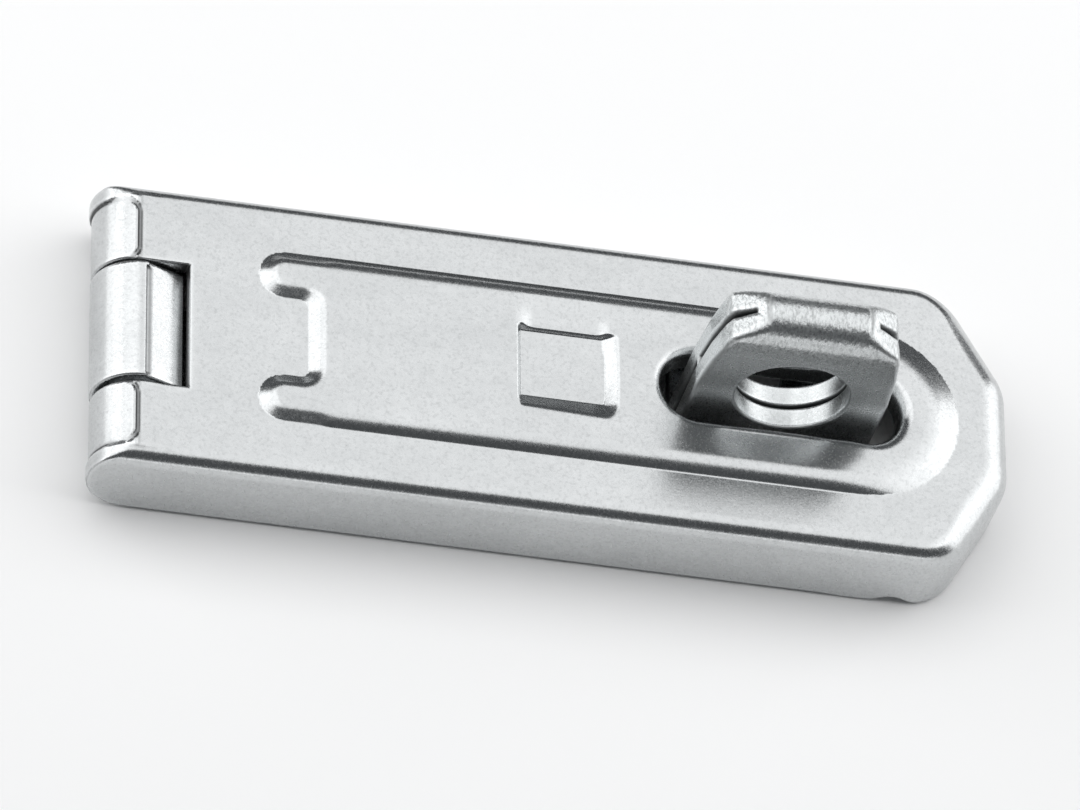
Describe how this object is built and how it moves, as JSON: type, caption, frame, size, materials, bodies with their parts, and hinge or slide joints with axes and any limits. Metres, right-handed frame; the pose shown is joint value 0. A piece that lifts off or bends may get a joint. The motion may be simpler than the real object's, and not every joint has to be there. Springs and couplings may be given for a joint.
{
  "type": "hasp and staple",
  "caption": "Zinc-plated pressed-steel hasp: a panelled, slotted plate swings on a concealed knuckle hinge and closes over a folded-sheet staple whose eye takes a padlock.",
  "frame": {"origin": "on the mounting surface, under the middle of the closed hasp", "axes": "+X from the hinge to the tip of the hasp, +Y across its width, +Z out of the mounting surface"},
  "size_m": [0.08, 0.0278, 0.0221],
  "materials": {
    "hasp_zinc": "bright zinc plate, faintly mottled",
    "leaf_zinc": "bright zinc plate, faintly mottled",
    "pin_steel": "plain drawn steel",
    "staple_zinc": "bright zinc plate, brushed at the fold"
  },
  "bodies": {
    "leaf": {"leaf": "leaf_zinc"},
    "hasp": {"hasp": "hasp_zinc", "hinge_pin": "pin_steel"},
    "staple": {"staple": "staple_zinc"}
  },
  "joints": [
    {"name": "hasp_swing", "type": "hinge", "parent": "leaf", "child": "hasp", "pos_m": [-0.0358, 0, 0.00425], "axis": [0, -1, 0], "range_deg": [0, 176]},
    {"name": "staple_part", "type": "slide", "parent": "leaf", "child": "staple", "axis": [0, 0, -1], "range_m": [0, 0.03]}
  ]
}
